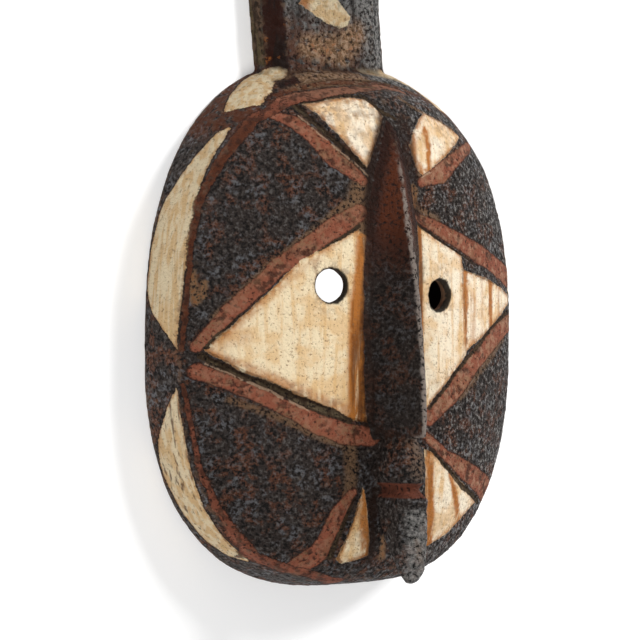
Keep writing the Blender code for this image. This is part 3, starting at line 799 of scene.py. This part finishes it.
# %% Red and white earth on the face
worn_off = share(lumps, 0.36, 0.46)
look = lay(soot, both(share(red_in, -0.3 * MM, 0.5 * MM), 0.9), "red earth dark", 0.8)
look = lay(look, both(share(red_in, 0.3 * MM, 1.5 * MM), worn_off), "red earth", 0.8)
# Paler red in blotches: partly the paint's own tone, and partly painted light, more of it on the right
# side.
look = lay(look, both(share(red_in, 0.8 * MM, 2.5 * MM), share(blotch["Red"], 0.46, 0.62),
                      share(lit_side, -0.9, 1.0)), "red earth pale and lit", 0.8)
look = lay(look, both(share(red_in, 0.8 * MM, 2.0 * MM), share(patch["Blue"], 0.49, 0.60),
                      share(blotch["Green"], 0.42, 0.56), 0.8), "red earth dark", 0.8)
look = lay(look, both(share(red_in, 0.2 * MM, 1.2 * MM), share(patch["Red"], 0.52, 0.62),
                      share(lumps, 0.46, 0.56), 0.6), "dust", 0.85)
look = lay(look, both(dust, share(lumps, 0.44, 0.54), 0.6), "dust", 0.85)
white_cover = share(white_in, -0.25 * MM, 0.35 * MM)
look = lay(look, white_cover, "white earth", 0.88)
# Painted light: a paler white on the right side and on the upper face, which turn to the light.
pale = add(pt, "ShaderNodeMath", {0: lit_side, 1: share(along, 0.080, 0.110)}, operation="MAXIMUM")
look = lay(look, both(white_cover, pale, 0.8), "white earth lit", 0.88)
look = lay(look, both(white_cover, share(patch["Blue"], 0.44, 0.62), 0.55),
           "white earth aged", 0.88)
look = lay(look, both(white_cover, share(streak["Red"], 0.48, 0.66), 0.5), "white earth aged", 0.88)
look = lay(look, both(white_cover, share(white_in, 4.0 * MM, 0.0),
                      share(blotch["Green"], 0.34, 0.54), 0.85), "stain", 0.8)
stain = told("stain")
look = lay(look, both(white_cover, share(stain, 0.0, 0.8), share(streak["Green"], 0.26, 0.46)),
           "stain", 0.75)
look = lay(look, both(white_cover, share(stain, 0.6, 1.0), share(streak["Blue"], 0.42, 0.60), 0.7),
           "stain dark", 0.7)
look = lay(look, both(white_cover, share(grain["Blue"], 0.60, 0.68),
                      share(blotch["Blue"], 0.40, 0.56), 0.75), "white earth pits", 0.9)
look = lay(look, both(white_cover, share(lumps, 0.42, 0.33), 0.5), "white earth pits", 0.9)

# %% [markdown]
# ## Scratches and the nose
# The blade's scratches go through every paint, so they come over the fields: dark inside, with
# bare wood in the wide ones, painted shade in their hollows and a painted highlight on the lit lip
# beside some. The nose is a smoother and darker black than the crust around it, and brown towards
# its top; along its ridge the grey is partly wear and partly a painted highlight.

# %% Scratches, their pale lips, and the nose
look = lay(look, share(cut_in, -0.35 * MM, 0.35 * MM), "scratch", 0.85)
look = lay(look, both(share(cut_in, 0.8 * MM, 1.8 * MM), share(streak["Blue"], 0.40, 0.58), 0.8),
           "scratched wood", 0.85)
# Painted shade in the hollows of the cuts.
look = lay(look, both(share(cut_in, -0.2 * MM, 0.4 * MM), share(lumps, 0.48, 0.40), 0.9),
           "crevice shade", 0.85)
# Painted highlight on the lit lip beside some cuts.
look = lay(look, both(share(lip_in, -0.4 * MM, 0.3 * MM), share(blotch["Red"], 0.40, 0.50), 0.8),
           "lip highlight", 0.8)
# Dark marks of dirt, and painted shadow beside the nose and the mouth.
look = lay(look, both(told("dark brown"), share(blotch["Blue"], 0.20, 0.40), 0.95), "dark brown", 0.7)
nose = lay(soot, 0.6, "nose black", 0.5)
nose = lay(nose, both(share(along, 0.030, 0.070), share(blotch["Blue"], 0.28, 0.42), 0.95),
           "nose brown", 0.55)
nose = lay(nose, both(share(along, 0.045, 0.085), share(nose_in, 3.0 * MM, 10.0 * MM),
                      share(lumps, 0.36, 0.52), 0.85), "nose warm", 0.6)
# Painted shade in the hollows between the lumps of the nose.
nose = lay(nose, both(share(lumps, 0.44, 0.36), 0.7), "crevice shade", 0.7)
# Along the ridge the black turns grey: partly wear, partly a painted highlight.
nose = lay(nose, both(told("ridge"), share(lumps, 0.38, 0.50)), "ridge grey", 0.32)
look = lay(look, share(nose_in, -0.4 * MM, 0.5 * MM), nose["colour"], nose["rough"])

# %% [markdown]
# ## The crescents on the side wall
# White crescents run round the side wall. The wall is almost upright, so a pattern drawn from
# above would smear down it. Each crescent is drawn in height over length instead, between two
# curves that Float Curve nodes hold.

# %% The side wall and its white crescents
# A crescent on the wall lies between two curves of height, drawn along the wall.
LOW_CURVE = ((-150, 40), (-134, 40), (-131.5, 27), (-127.9, 16.2), (-121.8, 10.9), (-114.4, 8.4),
             (-95.3, 5.8), (-75.1, 3.9), (-66, 4.2), (-56.8, 8.2), (-43.3, 18), (-25.1, 29.5),
             (-22, 45), (-5, 45), (-2.3, 32), (9.7, 20.6), (20.5, 9.7), (27.8, 4.4), (36.8, 2.3),
             (58, 2.7), (81, 5.1), (88.2, 7.3), (96.6, 12.7), (107.5, 17.8), (118.3, 22.4),
             (127.4, 27.1), (132.2, 32.3), (134.5, 45), (139.5, 45), (141.2, 21.4), (147.6, 17.4),
             (154.1, 13.2), (163.4, 6.3), (166.7, 5.6), (169.1, 9.6), (171.2, 18.4), (176, 30))
HIGH_CURVE = ((-150, 20), (-133, 24), (-129.9, 29.1), (-117.9, 29.1), (-100, 28.7), (-89.6, 29.1),
              (-68.4, 30.8), (-44.3, 31.6), (-25.7, 30.2), (-20, 20), (-8, 20), (-2.3, 32), (3.7, 31.1),
              (24.7, 33.6), (50.4, 34.8), (74.4, 34.2), (107.7, 33), (126, 34), (132, 32.8), (135, 20),
              (140, 20), (141.2, 22), (144, 31), (146.6, 37.5), (153.6, 34), (162.2, 27.2),
              (169.4, 22), (171.2, 18.6), (176, 0))
CURVE_RANGE, CURVE_TALL = (-150, 176), 50
SHOULDER = ((-6, 171.4), (10, 168.6), (18.2, 165.4), (26, 161.4), (38.3, 154), (50, 152), (46, 168),
            (20, 177), (-6, 176))


def curve_height(points, where):
    """The height of a drawn curve, in metres, at each place along the wall."""
    start, end = CURVE_RANGE
    spot = add(pt, "ShaderNodeMapRange", {"Value": where, "From Min": start * MM, "From Max": end * MM})
    node = add(pt, "ShaderNodeFloatCurve", {"Value": spot}).node
    curve = node.mapping.curves[0]
    while len(curve.points) < len(points):
        curve.points.new(0.5, 0.5)
    for handle, (reach, height) in zip(curve.points, points):
        handle.location = ((reach - start) / (end - start), height / CURVE_TALL)
        handle.handle_type = "VECTOR"
    node.mapping.update()
    return add(pt, "ShaderNodeMath", {0: node.outputs[0], 1: CURVE_TALL * MM}, operation="MULTIPLY")


on_wall = add(pt, "ShaderNodeSeparateXYZ", {0: drawn_on(split["Z"], along)}).node.outputs
over_low = add(pt, "ShaderNodeMath", {0: on_wall["X"], 1: curve_height(LOW_CURVE, on_wall["Y"])},
               operation="SUBTRACT")
under_high = add(pt, "ShaderNodeMath", {0: curve_height(HIGH_CURVE, on_wall["Y"]), 1: on_wall["X"]},
                 operation="SUBTRACT")
crescent_in = add(pt, "ShaderNodeMath", {0: over_low, 1: under_high}, operation="MINIMUM")
wall = lay(soot, both(share(along, 0.118, 0.135), share(blotch["Blue"], 0.36, 0.54), 0.8),
           "arc brown", 0.8)
look = lay(look, told("wall"), wall["colour"], wall["rough"])
on_shoulder = field_depth(SHOULDER, drawn)
crescent_in = add(pt, "ShaderNodeMath", {0: crescent_in, 1: on_shoulder}, operation="MAXIMUM")
look = lay(look, both(share(crescent_in, -1.8 * MM, -0.6 * MM), 0.8), "dark brown", 0.8)
crescent = share(crescent_in, -0.3 * MM, 0.4 * MM)
look = lay(look, crescent, "white earth", 0.88)
look = lay(look, both(crescent, share(streak["Red"], 0.42, 0.60), 0.65), "white earth aged", 0.88)
look = lay(look, both(crescent, share(streak["Green"], 0.56, 0.68), share(along, 0.02, -0.03), 0.8),
           "stain dark", 0.8)
look = lay(look, both(crescent, share(crescent_in, 2.0 * MM, 0.0), share(blotch["Red"], 0.35, 0.55), 0.6),
           "stain", 0.8)
look = lay(look, both(crescent, share(lumps, 0.42, 0.34), 0.6), "white earth pits", 0.9)
look = lay(look, both(share(arc_in, -0.9 * MM, -0.3 * MM), 0.8), "dark brown", 0.8)
arc = share(arc_in, -0.4 * MM, 0.4 * MM)
look = lay(look, both(arc, worn_off), "red earth", 0.8)
# Painted light: the top of the arc faces up to the light, so it is paler.
look = lay(look, both(arc, share(along, 0.146, 0.154), 0.6), "red earth pale and lit", 0.8)
look = lay(look, both(arc, share(along, 0.148, 0.132), share(along, -0.060, -0.010), 0.85),
           "arc brown", 0.8)
look = lay(look, both(arc, share(blotch["Green"], 0.46, 0.60), 0.7), "red earth dark", 0.8)

# %% [markdown]
# ## Mouth, beard and plank
# These stand highest or are held most, so the plank's black has gone grey in streaks and the lips'
# front brown. The beard's front, which faces the light, is grey with glints, and the plank's right
# side has glints: these are painted highlights. They are painted in layers over the same crust, and
# a number on the mesh says where each one is.

# %% Mouth and beard
# Painted light: the beard's front faces the light, so it is grey with glints.
beard = both(share(along, BEARD_FREE, BEARD_FREE - 0.006), share(split["X"], -0.010, -0.003))
mouth = lay(soot, both(beard, share(lumps, 0.36, 0.46), 0.6), "charcoal grey", 0.38)
mouth = lay(mouth, both(beard, share(lumps, 0.50, 0.62), 0.9), "soot glint", 0.35)
mouth = lay(mouth, both(share(along, -0.084, -0.076), share(split["X"], -0.008, 0.0),
                        share(lumps, 0.44, 0.56), 0.7), "rubbed wood", 0.6)
# Painted shade in the hollows between the lumps of the mouth and beard.
mouth = lay(mouth, both(share(lumps, 0.47, 0.36), 0.7), "crevice shade", 0.7)
slit = add(pt, "ShaderNodeMath", {0: along, 1: MOUTH}, operation="SUBTRACT")
slit = add(pt, "ShaderNodeMath", {0: slit}, operation="ABSOLUTE")
mouth = lay(mouth, both(share(slit, 5.0 * MM, 3.8 * MM), worn_off), "mouth red", 0.7)
look = lay(look, told("mouth"), mouth["colour"], mouth["rough"])

# %% The plank
REPEAT_FROM = 150  # where along the mask the lowest lozenge's share of the plank begins
repeat = add(pt, "ShaderNodeMath",
             {0: along, 1: (REPEAT_FROM + LOZENGE_STEP) * MM, 2: REPEAT_FROM * MM}, operation="WRAP")
on_plank = drawn_on(split["X"], repeat)
lozenge = both(share(field_depth(LOZENGE, on_plank), -0.4 * MM, 0.4 * MM), share(along, 0.620, 0.610))
near_neck = share(along, 0.216, 0.180)
plank = {"colour": COLOURS["charcoal"], "rough": 0.65}
plank = lay(plank, both(share(streak["Red"], 0.40, 0.58), share(lumps, 0.42, 0.54)),
            "charcoal grey", 0.5)
plank = lay(plank, both(near_neck, share(blotch["Red"], 0.36, 0.50), share(split["X"], 0.03, 0.0), 0.8),
            "soot worn brown", 0.8)
plank = lay(plank, both(dust, share(blotch["Green"], 0.34, 0.50), 1.3), "dust", 0.85)
# Painted highlights on the lit tops of the lumps in the dust.
plank = lay(plank, both(dust, share(lumps, 0.48, 0.58)), "lip highlight", 0.85)
plank = lay(plank, both(share(dust, 0.6, 0.9), share(blotch["Red"], 0.48, 0.56),
                        share(lumps, 0.50, 0.60), 0.7), "wear orange", 0.85)
# Painted glints on the plank's right side, which faces the light.
plank = lay(plank, both(share(split["X"], 0.005, 0.030), share(lumps, 0.50, 0.60), 0.8),
            "soot glint", 0.45)
# Painted shade in the hollows between the lumps and along the streaks.
plank = lay(plank, both(share(lumps, 0.45, 0.37), 0.85), "crevice shade", 0.8)
plank = lay(plank, both(share(streak["Green"], 0.44, 0.36), 0.4), "crevice shade", 0.8)
plank = lay(plank, lozenge, "white earth", 0.88)
plank = lay(plank, both(lozenge, share(blotch["Blue"], 0.42, 0.60), 0.6), "white earth aged", 0.88)
plank = lay(plank, both(lozenge, share(split["X"], -0.021, -0.026), 0.8), "wear orange", 0.8)
plank = lay(plank, both(lozenge, share(lumps, 0.42, 0.34), 0.6), "white earth pits", 0.9)
bevel = {"colour": COLOURS["bevel"], "rough": 0.55}
bevel = lay(bevel, share(streak["Green"], 0.44, 0.56), "bevel red", 0.6)
bevel = lay(bevel, both(near_neck, share(patch["Blue"], 0.50, 0.58), share(lumps, 0.48, 0.55)),
            "wear orange", 0.7)
plank = lay(plank, told("plank bevel"), bevel["colour"], bevel["rough"])
timber = {"colour": COLOURS["side wood"], "rough": 0.85}
timber = lay(timber, both(share(streak["Blue"], 0.46, 0.58), 0.8), "bevel", 0.85)
# Painted shade in the hollows between the lumps of the side wood.
timber = lay(timber, both(share(lumps, 0.46, 0.36), 0.7), "crevice shade", 0.85)
plank = lay(plank, told("plank side"), timber["colour"], timber["rough"])
look = lay(look, told("plank"), plank["colour"], plank["rough"])

# %% [markdown]
# ## Rubbing, darker corners, dark bores, and wood that was never painted
# Rubbing came last on the real mask, so it is laid last, with the darkening of corners. The bores
# of the eyes get painted shade on their walls and a dark rim as if burnt, and the hollow and the
# backs are bare wood.

# %% Darker corners, rubbed edges, painted shade in the bores, and the wood that was never painted
look = lay(look, both(told("corner"), share(patch["Red"], 0.30, 0.55), 0.6), "dark brown", 0.75)
look = lay(look, both(told("rubbed"), share(blotch["Red"], 0.44, 0.60), 0.5), "rubbed wood", 0.55)
# Painted shade on the walls of the eye bores, and a dark rim around them as if burnt.
look = lay(look, both(told("bore"), 0.95), "burnt and shaded", 0.8)
wood = {"colour": COLOURS["bare wood"], "rough": 0.8}
wood = lay(wood, both(share(streak["Red"], 0.42, 0.60), 0.8), "bare wood dark", 0.85)
wood = lay(wood, both(share(patch["Green"], 0.48, 0.66), 0.6), "soot worn brown", 0.85)
look = lay(look, told("bare"), wood["colour"], wood["rough"])

# %% [markdown]
# ## Grit too fine for the mesh
# The finest lumps of the crust are smaller than the cells of the mesh, so the noise that colours
# them also tilts the light, as a bump. It is strong on the crust and weak on smooth paint.

# %% Lumps and grit as a bump, and the shader
# Dried earth paint is chalky: a binder's IOR, little gloss, and the roughness of each layer.
SMOOTH = 0.12  # what is left of the bump where there is no crust
crusty = add(pt, "ShaderNodeMath", {0: crust, 1: 1 - SMOOTH, 2: SMOOTH}, operation="MULTIPLY_ADD")
relief = add(pt, "ShaderNodeMath", {0: lumps, 1: crusty}, operation="MULTIPLY")
relief = add(pt, "ShaderNodeBump", {"Height": relief, "Distance": 9.0 * MM, "Strength": 1.0})
skin_shader = add(pt, "ShaderNodeBsdfPrincipled",
                  {"Base Color": look["colour"], "Roughness": look["rough"], "Normal": relief,
                   "IOR": 1.45, "Specular IOR Level": 0.2})
add(pt, "ShaderNodeOutputMaterial", {"Surface": skin_shader})
print(len(pt.nodes), "nodes in the paint")

# %% [markdown]
# ## The piece takes the solid's place
# The finished mesh rides on the body of the mask and replaces the CAD solid.

# %% The finished piece
piece_mesh.materials.clear()
piece_mesh.materials.append(paint)
piece_mesh.shade_smooth()
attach(piece, "root")
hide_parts("mask")
print("the piece has", len(piece_mesh.attributes), "attributes")

# %% [markdown]
# ## A pale board, soft light and the camera
# The photograph looks at the mask from a little to its side, with light from the upper right. Its
# ground is almost white, so the board glows faintly. The left eye shows white and the right one
# black, so a small lit panel lies under the one and a small black card under the other.

# %% The board


def level_square(name, centre, half, height):
    mesh = bpy.data.meshes.new(name)
    x, y = centre
    corners = [(x - half, y - half), (x + half, y - half), (x + half, y + half), (x - half, y + half)]
    mesh.from_pydata([(*corner, height) for corner in corners], [], [(0, 1, 2, 3)])
    square = bpy.data.objects.new(name, mesh)
    bpy.context.scene.collection.objects.link(square)
    return square


def matt(name, colour, glow):
    material = bpy.data.materials.new(name)
    material.use_nodes = True
    surface = material.node_tree.nodes["Principled BSDF"].inputs
    surface["Base Color"].default_value = earth(colour)
    surface["Roughness"].default_value = 0.9
    surface["Emission Color"].default_value = (1, 1, 1, 1)
    surface["Emission Strength"].default_value = glow
    return material


# White laminate is even and matt, and lit acrylic is the white cover of a lamp. Black velvet gives
# almost no light back. Each has its colour and glow, and its square's middle, half side and height.
GROUND = {
    "board": ("white laminate", "#F6F6F6", 0.1, (0, 0), 4.0, 0.0),
    "lit_panel": ("lit acrylic", "#F6F6F6", 1.1, (0.008, WAIST + 0.036), 0.024, 0.0004),
    # The black card is painted shade: it darkens the board seen through the right eye, where the hollow is
    # in shade.
    "black_card": ("black velvet", "#101010", 0.0, (0.082, WAIST + 0.031), 0.022, 0.0004),
}
for name, (finish, colour, glow, *square) in GROUND.items():
    level_square(name, *square).data.materials.append(matt(finish, colour, glow))
print(len(GROUND), "level squares under the mask")

# %% Light


def soft_light(name, place, size, power):
    light = bpy.data.lights.new(name, "AREA")
    light.energy = power
    light.size = size
    holder = bpy.data.objects.new(name, light)
    holder.location = place
    holder.rotation_euler = (-Vector(place)).to_track_quat("-Z", "Y").to_euler()
    bpy.context.scene.collection.objects.link(holder)


# Each light as its place and the side of its square, in metres, and its power in watts
LIGHTS = {"window": ((1.5, 1.1, 1.7), 0.7, 62), "fill": ((-1.5, -1.0, 2.2), 1.6, 48)}
SKY = 0.33  # strength of the even white light from all around
for name, settings in LIGHTS.items():
    soft_light(name, *settings)
world = bpy.data.worlds.new("studio")
world.use_nodes = True
world.node_tree.nodes["Background"].inputs["Color"].default_value = (1, 1, 1, 1)
world.node_tree.nodes["Background"].inputs["Strength"].default_value = SKY
bpy.context.scene.world = world
bpy.context.scene.view_settings.view_transform = "Standard"
print(len(LIGHTS), "lights and an even sky")

# %% Camera
TURN = math.radians(35)
REACH = 2.6  # from the camera to what it aims at
FRAME = 640  # pixels across the photograph's frame
PIXEL = 0.615 * MM  # of that frame, at the distance of the aim
OFF_WAIST = (2, 25.5)  # pixels that the frame's middle lies across and up from the waist's middle
AIM_HEIGHT = 0.030
SENSOR = 36
toward = Vector((-math.sin(TURN), 0, math.cos(TURN)))
across = Vector((math.cos(TURN), 0, math.sin(TURN)))
upward = Vector((0, 1, 0))
aim = (across * OFF_WAIST[0] * PIXEL + upward * (WAIST + OFF_WAIST[1] * PIXEL)
       + toward * AIM_HEIGHT)
camera = bpy.data.objects.new("camera", bpy.data.cameras.new("camera"))
bpy.context.scene.collection.objects.link(camera)
camera.data.lens = SENSOR * REACH / (FRAME * PIXEL)
view = Matrix((across, upward, toward)).transposed().to_4x4()
view.translation = aim + toward * REACH
camera.matrix_world = view
bpy.context.scene.camera = camera
print("lens:", round(camera.data.lens), "mm at", REACH, "m")
